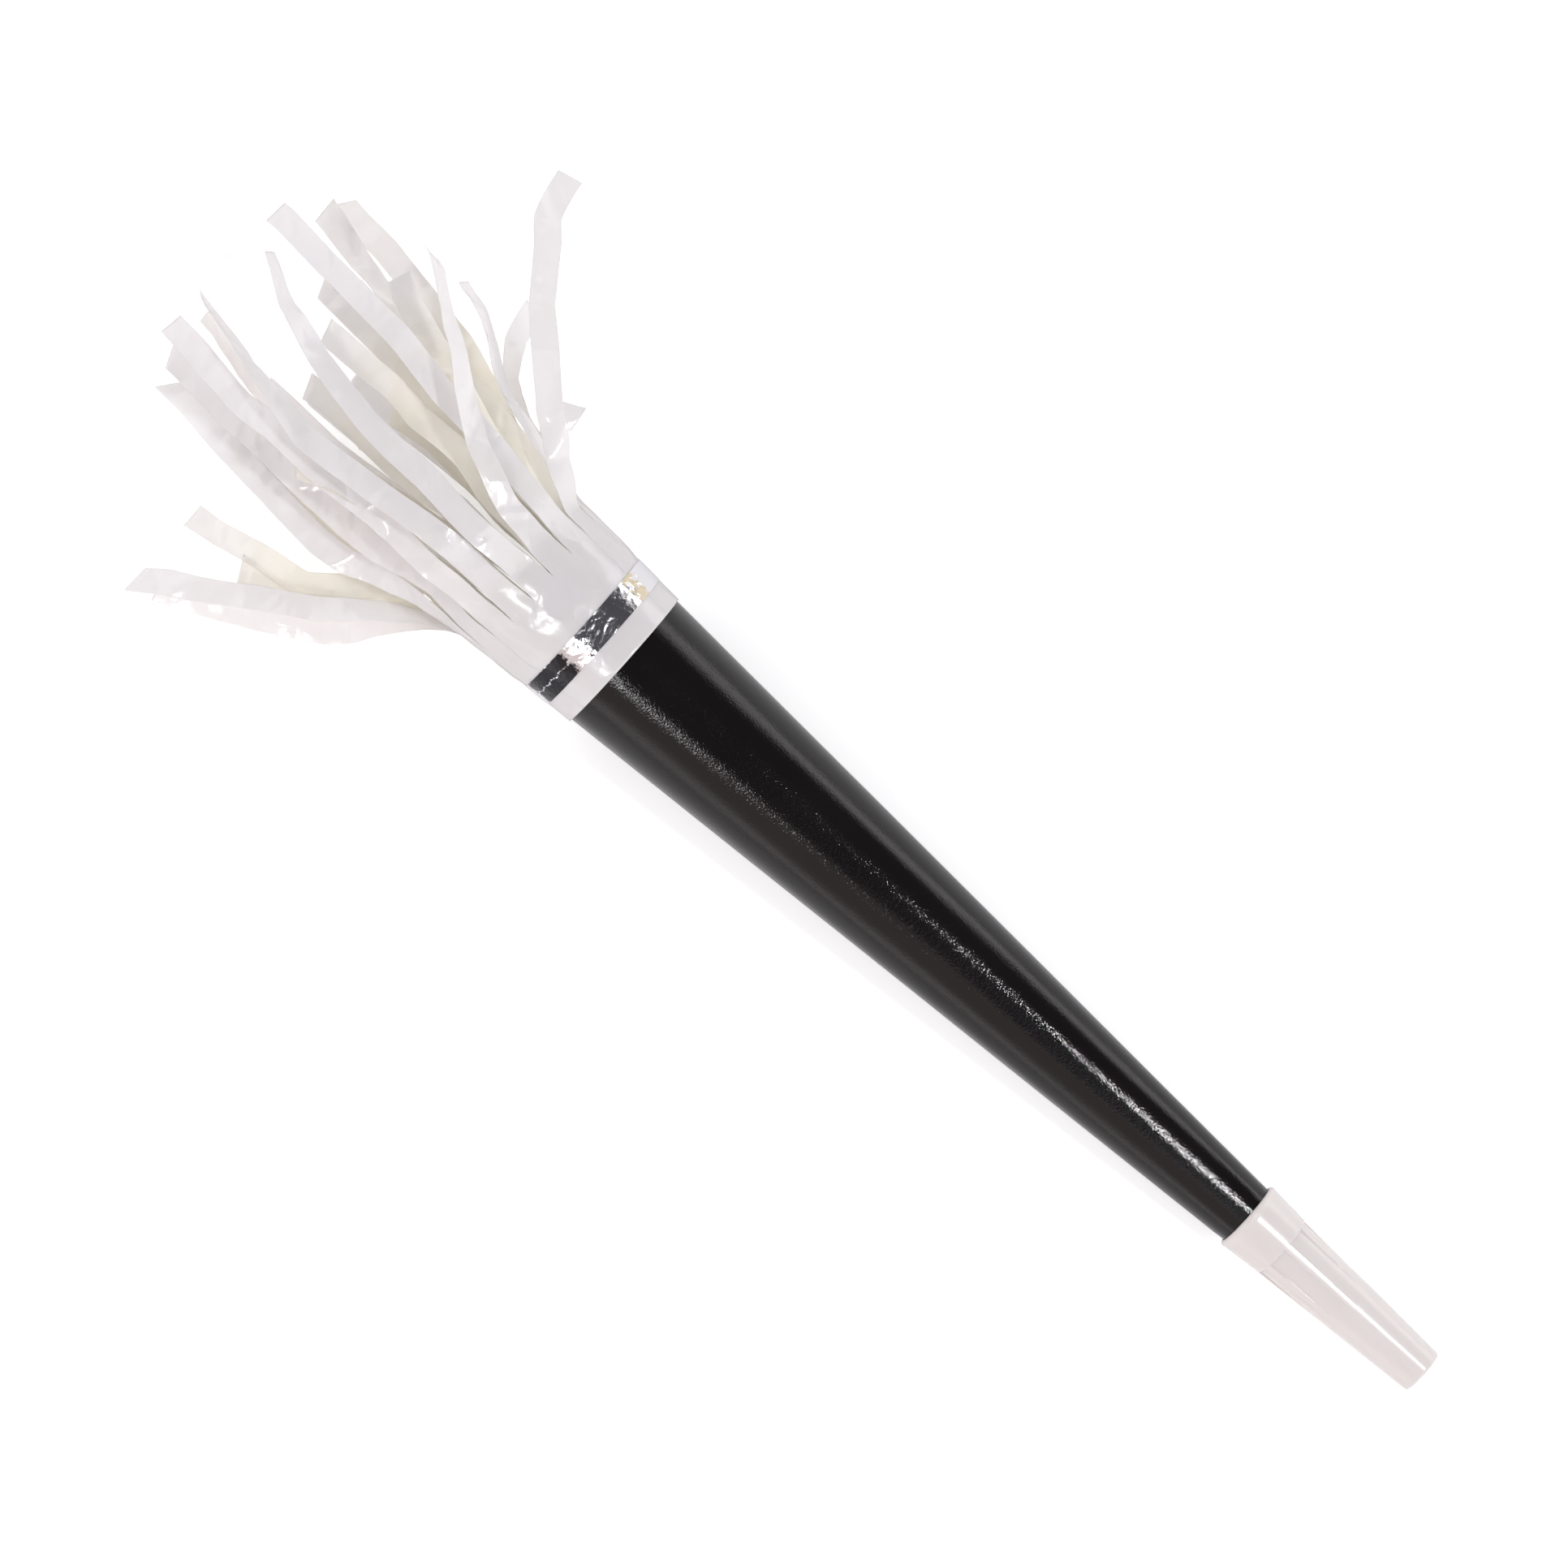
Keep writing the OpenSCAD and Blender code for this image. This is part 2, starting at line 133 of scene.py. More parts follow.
RIGHT_INNER = [
    [150, [[20, -19, 28, 45], [38, -21, 28, 25], [54, -22.5, 27, 20], [74, -26, 24, 45], [94, -30, 21, 5]]],
    [170, [[20, -19.5, 20, 75], [33, -21.5, 18.5, 60], [46, -23.5, 17, 50]]],
    [190, [[20, -19, 11.5, -75], [36, -23.5, 7.5, -40], [52, -29, 6, -10], [72, -32, 6, 0], [93, -34, 6, 0]]],
    [210, [[22, -20, 6.5, -55], [38, -23.5, 4.5, -35], [54, -25, 3.5, -15], [72, -26, 3.5, 0]]],
]
UNDER_OUTER = [
    [230, [[22, -14.5, 1.4, -20], [42, -17, 1, 0], [61, -19, 1, 0], [81, -21, 1, 0]]],
    [250, [[20, -7.5, 0.6, -5], [36, -7.5, 0.5, 0], [51, -7, 0.5, 0], [65, -7.5, 0.5, 0]]],
    [270, [[20, 0.5, 0.4, 0], [38, 0, 0.4, 0], [55, 0.5, 0.4, 0], [67, 1, 0.4, 0]]],
    [290, [[20, 7.5, 0.6, 5], [40, 8, 0.5, 0], [60, 8.5, 0.5, 0], [77, 8.5, 0.5, 0]]],
    [310, [[22, 14.5, 1.4, 20], [40, 16.5, 1, 0], [61, 17.5, 1, 0], [93, 17, 1, 0]]],
]
UNDER_INNER = [
    [230, [[20, -12.5, 6, -35], [40, -14.5, 6.5, -20], [61, -16.5, 5.5, -5], [84, -18, 5, 0]]],
    [250, [[20, -6.5, 4.5, -15], [32, -7.5, 6, -5], [43, -8.5, 8, 0], [53, -7.5, 10, 10]]],
    [270, [[20, 0.5, 3.6, 0], [31, 0, 4, 0], [43, -1, 5, 0], [55, 1, 5, 0]]],
    [290, [[21, 6.5, 4.5, 15], [38, 7.5, 6, 5], [52, 10, 8, 0], [65, 14, 9, 20]]],
    [310, [[20, 12.5, 6, 35], [36, 14.5, 5.5, 20], [50, 15.5, 4.5, 5], [68, 16, 4, 0]]],
]
FRINGE = {
    ("top", "inner"): TOP_INNER, ("top", "outer"): TOP_OUTER,
    ("left", "inner"): LEFT_INNER, ("left", "outer"): LEFT_OUTER,
    ("right", "inner"): RIGHT_INNER, ("right", "outer"): RIGHT_OUTER,
    ("under", "inner"): UNDER_INNER, ("under", "outer"): UNDER_OUTER,
}


def length(name, value, text, lowest=0.0):
    """A length that a user may change."""
    return bpy.props.FloatProperty(
        name=name, description=text, default=value, min=lowest, unit="LENGTH", precision=5)


def colour(name, value, text):
    """A colour that a user may change."""
    return bpy.props.FloatVectorProperty(
        name=name, description=text, default=value, size=3, min=0.0, max=1.0, subtype="COLOR")


class HornSizes(bpy.types.PropertyGroup):
    """Sizes of the cone, the mouthpiece and the foil"""
    bell_d: length("Bell", 38 * MM, "Outer diameter of the cone at the bell")
    throat_d: length("Throat", 15 * MM, "Outer diameter of the cone at the mouthpiece's rim")
    cone_l: length("Cone length", 210 * MM, "From the mouthpiece's rim to the bell")
    card_t: length("Card", 0.5 * MM, "Thickness of the rolled card")
    skin_t: length("Skin", 0.12 * MM, "Thickness of the black film on the card")
    lap_w: length("Lap", 8 * MM, "Width of the lap where the sheet closes")
    socket_l: length("Socket", 12 * MM, "How far the cone goes into the mouthpiece")
    mouth_l: length("Mouthpiece", 53.6 * MM, "Length of the mouthpiece")
    rim_wall: length("Rim wall", 1.15 * MM, "Wall of the mouthpiece at its rim")
    tip_d: length("Tip", 10.9 * MM, "Outer diameter at the blowing end")
    breath_d: length("Breath hole", 7.2 * MM, "Diameter of the hole in the blowing end")
    seat_d: length("Reed seat", 10.6 * MM, "Bore that the reed sits in")
    flat_depth: length("Recess", 0.5 * MM, "Depth of the grip recesses at the shoulder")
    flat_l: length("Recess length", 21 * MM, "Length over which a recess runs out")
    tape_set: length("Tape from edge", 6.2 * MM, "From the band's lower edge to the foil tape")
    tape_w: length("Tape width", 6.35 * MM, "Width of the foil tape")
    tape_t: length("Tape", 0.1 * MM, "Thickness of the foil tape")


class FringeSizes(bpy.types.PropertyGroup):
    """Sizes of the film fringe"""
    band_h: length("Band", 24 * MM, "Height of the uncut band round the bell")
    band_over: length("Overhang", 1 * MM, "How far the band passes the bell's edge")
    film_t: length("Layer", 0.15 * MM, "Space that a ply of film takes up")
    sheet_t: length("Film", 0.08 * MM, "Thickness of the film itself")
    wrap_gap: length("Wrap gap", 0.03 * MM, "Gap between wrapped layers")
    ply_gap: length("Ply gap", 0.25 * MM, "Gap between the two plies")
    root_gap: length("Root gap", 0.4 * MM, "From the band's edge to a strip's root")
    lead_l: length("Lead", 6 * MM, "Length of a strip that runs straight on from the band")
    strip_w: length("Strip", 6.15 * MM, "Width of a strip")
    row: length("Row", 0.55 * MM, "Spacing of the mesh rows along a strip", 0.0002)


class HornColours(bpy.types.PropertyGroup):
    """Colours of the horn"""
    black: colour("Black film", (0.0050, 0.0041, 0.0045), "Film on the outside of the card")
    card: colour("Card", (0.62, 0.58, 0.53), "Bare face of the rolled card")
    moulding: colour("Moulding", (0.65, 0.615, 0.60), "White moulded mouthpiece")
    reed: colour("Reed", (0.55, 0.56, 0.56), "Moulded body of the reed")
    foil: colour("Foil", (0.92, 0.91, 0.93), "Silver of the foil tape")
    film: colour("Film", (0.90, 0.885, 0.915), "White film of the fringe")
    # Painted bounce light: the cream that the film turns to deep in the fringe, for light passed between the
    # layers.
    cream: colour("Inner film", (0.93, 0.905, 0.825), "Film where it lies deep in the fringe")
    floor: colour("Floor", (0.86, 0.86, 0.865), "Studio floor")


def sizes():
    return bpy.context.scene.horn_sizes


def fringe_sizes():
    return bpy.context.scene.fringe_sizes


def colours():
    return bpy.context.scene.horn_colours


# ---------------------------------------------------------------- the horn's own frame

def cone_r(z):
    """Radius of the cone's outside at z, measured along the horn from the mouthpiece's rim."""
    s = sizes()
    return s.throat_d / 2 + z * (s.bell_d - s.throat_d) / 2 / s.cone_l


def ply_r(ply, z):
    """Inside radius of a ply of film at z."""
    f = fringe_sizes()
    return cone_r(z) + f.wrap_gap + ply * (f.film_t + f.ply_gap)


def tape_r(z):
    """Inside radius of the foil tape at z."""
    f = fringe_sizes()
    return ply_r(1, z) + f.film_t + f.wrap_gap


def laid(points):
    """Points of the horn's own frame, whose Z is the horn's axis, where the horn lies."""
    points = np.asarray(points, float)
    x, y, z = points[..., 0], points[..., 1], points[..., 2] + sizes().mouth_l
    s, c = math.sin(LEAN), math.cos(LEAN)
    return np.stack([x * s + z * c, y, z * s - x * c], axis=-1)


def around(angle, radius, z):
    """A point at an angle round the horn, from +Y by way of the top, in the horn's own frame."""
    a = np.radians(angle)
    angle, radius, z = np.broadcast_arrays(a, radius, z)
    return np.stack([-np.sin(angle) * radius, np.cos(angle) * radius, z], axis=-1)


# ---------------------------------------------------------------- meshes

def smooth_step(x):
    x = np.clip(x, 0.0, 1.0)
    return x * x * (3 - 2 * x)


def new_piece(name, points, faces, sharp=40):
    """A mesh piece from points and faces, with edges sharper than an angle left crisp."""
    mesh = bpy.data.meshes.new(name)
    mesh.from_pydata([tuple(p) for p in np.asarray(points).reshape(-1, 3)], [], faces)
    mesh.validate()
    mesh.shade_smooth()
    mesh.set_sharp_from_angle(angle=math.radians(sharp))
    piece = bpy.data.objects.new(name, mesh)
    bpy.context.scene.collection.objects.link(piece)
    return piece


def grid_faces(rows, columns, closed_across=False, closed_along=False, start=0):
    """Quads of a grid of points whose columns run fastest."""
    faces = []
    for r in range(rows if closed_along else rows - 1):
        below = start + r * columns
        above = start + ((r + 1) % rows) * columns
        for c in range(columns if closed_across else columns - 1):
            d = (c + 1) % columns
            faces.append((below + c, below + d, above + d, above + c))
    return faces


def ridges(rng, along, across, count, spans, height, size, slant=0.8):
    """Heights of straight creases at random places and slants on a sheet, sharp along their crests."""
    total = np.zeros(np.broadcast(along, across).shape)
    lowest, longest, reach = spans
    for _ in range(count):
        place = rng.uniform(lowest, longest)
        side = rng.uniform(-reach, reach)
        tilt = rng.uniform(-slant, slant)
        half = size * rng.uniform(0.5, 1.6)
        lift = height * rng.uniform(-1.0, 1.0)
        crest = np.maximum(0.0, 1 - np.abs(along - place - tilt * across) / half)
        fade = np.exp(-((across - side) / (1.2 * reach)) ** 2)
        total += lift * crest * fade
    return total


# ---------------------------------------------------------------- materials

def new_group(name, inputs, outputs):
    """An empty shader group with its sockets, its input node and its output node."""
    group = bpy.data.node_groups.new(name, "ShaderNodeTree")
    for label, kind, default in inputs:
        socket = group.interface.new_socket(name=label, in_out="INPUT", socket_type=kind)
        if default is not None:
            socket.default_value = default
    for label, kind in outputs:
        group.interface.new_socket(name=label, in_out="OUTPUT", socket_type=kind)
    return group, group.nodes.new("NodeGroupInput"), group.nodes.new("NodeGroupOutput")


def node(tree, kind, **settings):
    """A node with some of its properties and input values set."""
    made = tree.nodes.new(kind)
    for key, value in settings.items():
        if key in made.inputs:
            made.inputs[key].default_value = value
        else:
            setattr(made, key, value)
    return made


def link(tree, source, target):
    tree.links.new(source, target)


def shaded(share, value):
    """A colour at a share of its brightness."""
    return tuple(share * c for c in value)


def math_node(tree, operation, a, b=None, clamp=False):
    """A math node whose inputs are sockets or numbers, and its output."""
    made = tree.nodes.new("ShaderNodeMath")
    made.operation = operation
    made.use_clamp = clamp
    for i, value in enumerate((a, b)):
        if isinstance(value, bpy.types.NodeSocket):
            tree.links.new(value, made.inputs[i])
        elif value is not None:
            made.inputs[i].default_value = value
    return made.outputs[0]


def mix_colour(tree, factor, a, b, blend="MIX"):
    """A colour mix whose inputs are sockets or values, and its output."""
    made = tree.nodes.new("ShaderNodeMix")
    made.data_type = "RGBA"
    made.blend_type = blend
    for socket, value in ((made.inputs[0], factor), (made.inputs[6], a), (made.inputs[7], b)):
        if isinstance(value, bpy.types.NodeSocket):
            tree.links.new(value, socket)
        elif hasattr(value, "__len__"):
            socket.default_value = (*tuple(value)[:3], 1.0)
        else:
            socket.default_value = value
    return made.outputs[2]


def crease_group():
    """Fine creases of thin film or foil: their height, and a mask of their crests."""
    group = bpy.data.node_groups.get("fine_creases")
    if group:
        return group
    group, start, end = new_group(
        "fine_creases",
        [("Vector", "NodeSocketVector", None), ("Scale", "NodeSocketFloat", 200.0),
         ("Stretch", "NodeSocketFloat", 0.5)],
        [("Height", "NodeSocketFloat"), ("Crests", "NodeSocketFloat")])
    warp = node(group, "ShaderNodeTexNoise", Detail=3.0, Roughness=0.6)
    link(group, start.outputs["Vector"], warp.inputs["Vector"])
    link(group, start.outputs["Scale"], warp.inputs["Scale"])
    shifted = node(group, "ShaderNodeVectorMath", operation="MULTIPLY_ADD")
    link(group, warp.outputs["Color"], shifted.inputs[0])
    shifted.inputs[1].default_value = (0.004, 0.004, 0.004)
    link(group, start.outputs["Vector"], shifted.inputs[2])
    cells = node(group, "ShaderNodeTexVoronoi", feature="DISTANCE_TO_EDGE")
    link(group, shifted.outputs[0], cells.inputs["Vector"])
    link(group, start.outputs["Scale"], cells.inputs["Scale"])
    slope = math_node(group, "MULTIPLY", cells.outputs["Distance"], 4.0)
    crest = math_node(group, "SUBTRACT", 1.0, slope, True)
    broad = math_node(group, "MULTIPLY", warp.outputs["Fac"], start.outputs["Stretch"])
    link(group, math_node(group, "ADD", crest, broad), end.inputs["Height"])
    link(group, crest, end.inputs["Crests"])
    return group


def wear_group():
    """Handling marks of a smooth surface: uneven gloss, and a light dust."""
    group = bpy.data.node_groups.get("handling_marks")
    if group:
        return group
    group, start, end = new_group(
        "handling_marks",
        [("Vector", "NodeSocketVector", None), ("Roughness", "NodeSocketFloat", 0.2),
         ("Spread", "NodeSocketFloat", 0.1), ("Scale", "NodeSocketFloat", 60.0)],
        [("Roughness", "NodeSocketFloat"), ("Marks", "NodeSocketFloat")])
    smears = node(group, "ShaderNodeTexNoise", Detail=5.0, Roughness=0.65)
    link(group, start.outputs["Vector"], smears.inputs["Vector"])
    link(group, start.outputs["Scale"], smears.inputs["Scale"])
    level = math_node(group, "SUBTRACT", smears.outputs["Fac"], 0.5)
    extra = math_node(group, "MULTIPLY", level, start.outputs["Spread"])
    link(group, math_node(group, "ADD", extra, start.outputs["Roughness"], True), end.inputs["Roughness"])
    link(group, smears.outputs["Fac"], end.inputs["Marks"])
    return group


def new_material(name, base, roughness, specular=0.5, metallic=0.0):
    """A material with a Principled shader whose constant values sit on its own sockets."""
    material = bpy.data.materials.new(name)
    material.use_nodes = True
    tree = material.node_tree
    shader = tree.nodes["Principled BSDF"]
    shader.inputs["Base Color"].default_value = (*tuple(base)[:3], 1.0)
    shader.inputs["Roughness"].default_value = roughness
    shader.inputs["Specular IOR Level"].default_value = specular
    shader.inputs["Metallic"].default_value = metallic
    material.diffuse_color = (*tuple(base)[:3], 1.0)
    return material, tree, shader


def object_place(tree):
    return tree.nodes.new("ShaderNodeTexCoord").outputs["Object"]


def add_bump(tree, shader, height, distance, strength=1.0):
    bump = node(tree, "ShaderNodeBump", Strength=strength, Distance=distance)
    link(tree, height, bump.inputs["Height"])
    link(tree, bump.outputs["Normal"], shader.inputs["Normal"])
    return bump


def place_group(tree, group, **values):
    made = tree.nodes.new("ShaderNodeGroup")
    made.node_tree = group
    link(tree, object_place(tree), made.inputs["Vector"])
    for key, value in values.items():
        made.inputs[key].default_value = value
    return made


def black_film_material():
    """Glossy black film on card: the card's grain shows through as a fine orange peel."""
    material, tree, shader = new_material("black_laminated_film", colours().black, 0.08, 0.38)
    place = object_place(tree)
    peel = node(tree, "ShaderNodeTexNoise", Scale=2400.0, Detail=2.0, Roughness=0.5)
    link(tree, place, peel.inputs["Vector"])
    fibres = node(tree, "ShaderNodeTexNoise", Scale=420.0, Detail=4.0, Roughness=0.6)
    link(tree, place, fibres.inputs["Vector"])
    grain = math_node(tree, "MULTIPLY", fibres.outputs["Fac"], 0.6)
    height = math_node(tree, "ADD", peel.outputs["Fac"], grain)
    add_bump(tree, shader, height, 0.00005, 1.0)
    marks = place_group(tree, wear_group(), Roughness=0.085, Spread=0.06, Scale=45.0)
    link(tree, marks.outputs["Roughness"], shader.inputs["Roughness"])
    haze = mix_colour(tree, math_node(tree, "MULTIPLY", marks.outputs["Marks"], 0.5),
                      colours().black, shaded(2.2, colours().black))
    link(tree, haze, shader.inputs["Base Color"])
    return material


def card_material():
    """Bare grey-white card, with flecks and a fibrous face."""
    material, tree, shader = new_material("rolled_card", colours().card, 0.8, 0.3)
    place = object_place(tree)
    fibres = node(tree, "ShaderNodeTexNoise", Scale=900.0, Detail=6.0, Roughness=0.7)
    link(tree, place, fibres.inputs["Vector"])
    flecks = node(tree, "ShaderNodeTexVoronoi", Scale=520.0)
    link(tree, place, flecks.inputs["Vector"])
    spots = math_node(tree, "LESS_THAN", flecks.outputs["Distance"], 0.1)
    shade = mix_colour(tree, fibres.outputs["Fac"], shaded(0.86, colours().card), colours().card)
    shade = mix_colour(tree, math_node(tree, "MULTIPLY", spots, 0.5), shade, (0.33, 0.29, 0.25))
    link(tree, shade, shader.inputs["Base Color"])
    add_bump(tree, shader, fibres.outputs["Fac"], 0.00005, 0.8)
    return material


def moulding_material():
    """White injection-moulded plastic with a satin gloss and a faint flow pattern."""
    material, tree, shader = new_material("white_moulded_plastic", colours().moulding, 0.22)
    shader.inputs["Subsurface Weight"].default_value = 0.18
    shader.inputs["Subsurface Radius"].default_value = (0.0016, 0.0012, 0.001)
    shader.inputs["Subsurface Scale"].default_value = 1.0
    marks = place_group(tree, wear_group(), Roughness=0.21, Spread=0.12, Scale=70.0)
    link(tree, marks.outputs["Roughness"], shader.inputs["Roughness"])
    warm = mix_colour(tree, math_node(tree, "MULTIPLY", marks.outputs["Marks"], 0.35),
                      colours().moulding, (0.61, 0.565, 0.55))
    link(tree, warm, shader.inputs["Base Color"])
    flow = node(tree, "ShaderNodeTexNoise", Scale=260.0, Detail=2.0, Roughness=0.4)
    link(tree, object_place(tree), flow.inputs["Vector"])
    add_bump(tree, shader, flow.outputs["Fac"], 0.00002, 0.7)
    return material


def reed_moulding_material():
    """Grey-white plastic of the reed's body, fine-textured."""
    material, tree, shader = new_material("reed_plastic", colours().reed, 0.45)
    marks = place_group(tree, wear_group(), Roughness=0.45, Spread=0.2, Scale=180.0)
    link(tree, marks.outputs["Roughness"], shader.inputs["Roughness"])
    shade = mix_colour(tree, marks.outputs["Marks"], shaded(0.9, colours().reed), colours().reed)
    link(tree, shade, shader.inputs["Base Color"])
    add_bump(tree, shader, marks.outputs["Marks"], 0.00004, 0.6)
    return material


def reed_strip_material():
    """Thin brushed tongue of the reed."""
    material, tree, shader = new_material("reed_tongue_strip", (0.5, 0.5, 0.52), 0.3, metallic=0.6)
    brush = node(tree, "ShaderNodeTexNoise", Scale=300.0, Detail=4.0, Roughness=0.6)
    mapping = node(tree, "ShaderNodeMapping", Scale=(0.1, 4.0, 1.0))
    link(tree, object_place(tree), mapping.inputs["Vector"])
    link(tree, mapping.outputs["Vector"], brush.inputs["Vector"])
    add_bump(tree, shader, brush.outputs["Fac"], 0.00002, 0.5)
    rough = math_node(tree, "ADD", math_node(tree, "MULTIPLY", brush.outputs["Fac"], 0.2), 0.2)
    link(tree, rough, shader.inputs["Roughness"])
    return material


def foil_material():
    """Crumpled silver foil with patches of painted dark reflection, worn to a cream backing where its end is
    torn.
    """
    painted_dark, backing = (0.045, 0.045, 0.05), (0.66, 0.58, 0.42)
    material, tree, shader = new_material("silver_foil", colours().foil, 0.07, metallic=1.0)
    fine = place_group(tree, crease_group(), Scale=900.0, Stretch=1.4)
    coarse = place_group(tree, crease_group(), Scale=330.0, Stretch=1.0)
    small = math_node(tree, "MULTIPLY", fine.outputs["Height"], 0.35)
    height = math_node(tree, "ADD", small, coarse.outputs["Height"])
    add_bump(tree, shader, height, 0.00006, 0.4)
    worn = node(tree, "ShaderNodeAttribute", attribute_name="worn")
    patch = math_node(tree, "MULTIPLY", worn.outputs["Fac"], coarse.outputs["Height"])
    patch = math_node(tree, "GREATER_THAN", patch, 0.55)
    # Painted dark reflection: the silver is darkened where the tape's attribute marks it, and the fine
    # creases make the edge ragged.
    painted_reflection = node(tree, "ShaderNodeAttribute", attribute_name="painted_reflection")
    ragged = math_node(tree, "SUBTRACT", fine.outputs["Height"], 1.0)
    ragged = math_node(tree, "MULTIPLY", ragged, 0.5)
    painted_reflection_mask = math_node(tree, "ADD", painted_reflection.outputs["Fac"], ragged)
    painted_reflection_mask = math_node(tree, "GREATER_THAN", painted_reflection_mask, 0.45)
    silver_with_painted_dark = mix_colour(tree, painted_reflection_mask, colours().foil, painted_dark)
    link(tree, mix_colour(tree, patch, silver_with_painted_dark, backing), shader.inputs["Base Color"])
    bare = math_node(tree, "MULTIPLY", patch, 0.75)
    link(tree, math_node(tree, "SUBTRACT", 1.0, bare), shader.inputs["Metallic"])
    rough = math_node(tree, "ADD", math_node(tree, "MULTIPLY", fine.outputs["Crests"], 0.10), 0.05)
    rougher = math_node(tree, "MULTIPLY", patch, 0.25)
    link(tree, math_node(tree, "ADD", rough, rougher), shader.inputs["Roughness"])
    return material


def film_material():
    """Thin white film: it lets some light through, and deep in the fringe it takes a painted cream tint for
    light passed between the layers.
    """
    material, tree, shader = new_material("white_fringe_film", colours().film, 0.16, 0.9)
    shader.inputs["Coat Weight"].default_value = 0.6
    shader.inputs["Coat Roughness"].default_value = 0.13
    place = object_place(tree)
    # Painted bounce light: deep in the fringe the film's colour is moved towards cream, for light passed
    # between the layers.
    deep = node(tree, "ShaderNodeAttribute", attribute_name="deep")
    streaks = node(tree, "ShaderNodeTexNoise", Scale=90.0, Detail=5.0, Roughness=0.6)
    link(tree, place, streaks.inputs["Vector"])
    uneven = math_node(tree, "SUBTRACT", streaks.outputs["Fac"], 0.5)
    uneven = math_node(tree, "MULTIPLY", uneven, 0.5)
    cream = math_node(tree, "ADD", deep.outputs["Fac"], uneven, True)
    base = mix_colour(tree, cream, colours().film, colours().cream)
    link(tree, base, shader.inputs["Base Color"])
    creases = place_group(tree, crease_group(), Scale=150.0, Stretch=1.2)
    add_bump(tree, shader, creases.outputs["Height"], 0.0002, 0.5)
    marks = place_group(tree, wear_group(), Roughness=0.2, Spread=0.2, Scale=120.0)
    link(tree, marks.outputs["Roughness"], shader.inputs["Roughness"])
    through = node(tree, "ShaderNodeBsdfTranslucent")
    link(tree, mix_colour(tree, 0.5, base, (1.0, 0.98, 0.91)), through.inputs["Color"])
    mixed = node(tree, "ShaderNodeMixShader", Fac=0.42)
    link(tree, shader.outputs[0], mixed.inputs[1])
    link(tree, through.outputs[0], mixed.inputs[2])
    link(tree, mixed.outputs[0], tree.nodes["Material Output"].inputs["Surface"])
    return material


def floor_material():
    """Pale studio paper, as bright to the camera and beneath the film as a lit table."""
    material, tree, shader = new_material("studio_floor", colours().floor, 0.9, 0.1)
    grain = node(tree, "ShaderNodeTexNoise", Scale=400.0, Detail=4.0, Roughness=0.6)
    link(tree, object_place(tree), grain.inputs["Vector"])
    paper = mix_colour(tree, grain.outputs["Fac"], shaded(0.985, colours().floor), colours().floor)
    link(tree, paper, shader.inputs["Base Color"])
    shader.inputs["Emission Color"].default_value = (1, 1, 1, 1)
    path = tree.nodes.new("ShaderNodeLightPath")
    seen = math_node(tree, "MULTIPLY", path.outputs["Is Camera Ray"], 0.42)
    lifted = math_node(tree, "MULTIPLY", path.outputs["Is Diffuse Ray"], 0.58)
    link(tree, math_node(tree, "ADD", seen, lifted), shader.inputs["Emission Strength"])
    return material


def dress(piece, material):
    """Gives a piece its only material."""
    piece.data.materials.clear()
    piece.data.materials.append(material)


# ---------------------------------------------------------------- the cone

def wavy(angle, z):
    """How far rolled card strays from a true cone, in metres."""
    a = np.radians(angle)
    broad = np.sin(3 * a + 14 * z + 0.6) + 0.7 * np.sin(5 * a - 31 * z + 2.1)
    short = 0.4 * np.sin(9 * a + 55 * z) + 0.25 * np.sin(14 * a - 90 * z + 1.0)
    return (broad + short) * 0.035 * MM


class HORN_OT_cone(bpy.types.Operator):
    """Make the cone: black film outside, with the lap where the sheet closes, over bare card"""
    bl_idname = "party_horn.cone"
    bl_label = "Cone"

    def execute(self, context):
        s, f = sizes(), fringe_sizes()
        columns, rows, lap_from, fade_l = 240, 150, 230, 3 * MM
        angle = lap_from + np.arange(columns) * 360 / columns
        z = np.linspace(-s.socket_l, s.cone_l, rows)[:, None]
        middle = cone_r(s.cone_l / 2)
        lap = math.degrees(s.lap_w / middle)
        step = 1 - smooth_step((angle - lap_from - 0.55 * lap) / (0.45 * lap))
        band_from = s.cone_l + f.band_over - f.band_h
        shown = smooth_step(z / fade_l) * (1 - smooth_step((z - band_from + fade_l) / fade_l))
        outside = cone_r(z) + shown * (step * s.card_t + wavy(angle, z))
        inside = cone_r(z) - s.skin_t + 0 * angle
        points = laid(np.concatenate([around(angle, outside, z), around(angle, inside, z)[::-1]]))
        piece = new_piece("cone_wrap", points, grid_faces(2 * rows, columns, True, True))
        dress(piece, black_film_material())
        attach(piece, "horn")
        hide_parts("cone_skin")
        dress(frame["nodes"]["cone_card"], card_material())
        return {"FINISHED"}


# ---------------------------------------------------------------- the mouthpiece and the reed

def arc_points(centre, radius, start, stop, count):
    """Points of an arc, as (radius from the axis, place along it)."""
    turn = np.radians(np.linspace(start, stop, count))
    return [(centre[0] + radius * math.cos(t), centre[1] + radius * math.sin(t)) for t in turn]


def line_points(a, b, count):
    """Points from a towards b, without b."""
    return [tuple(np.array(a) + (np.array(b) - np.array(a)) * i / count) for i in range(count)]


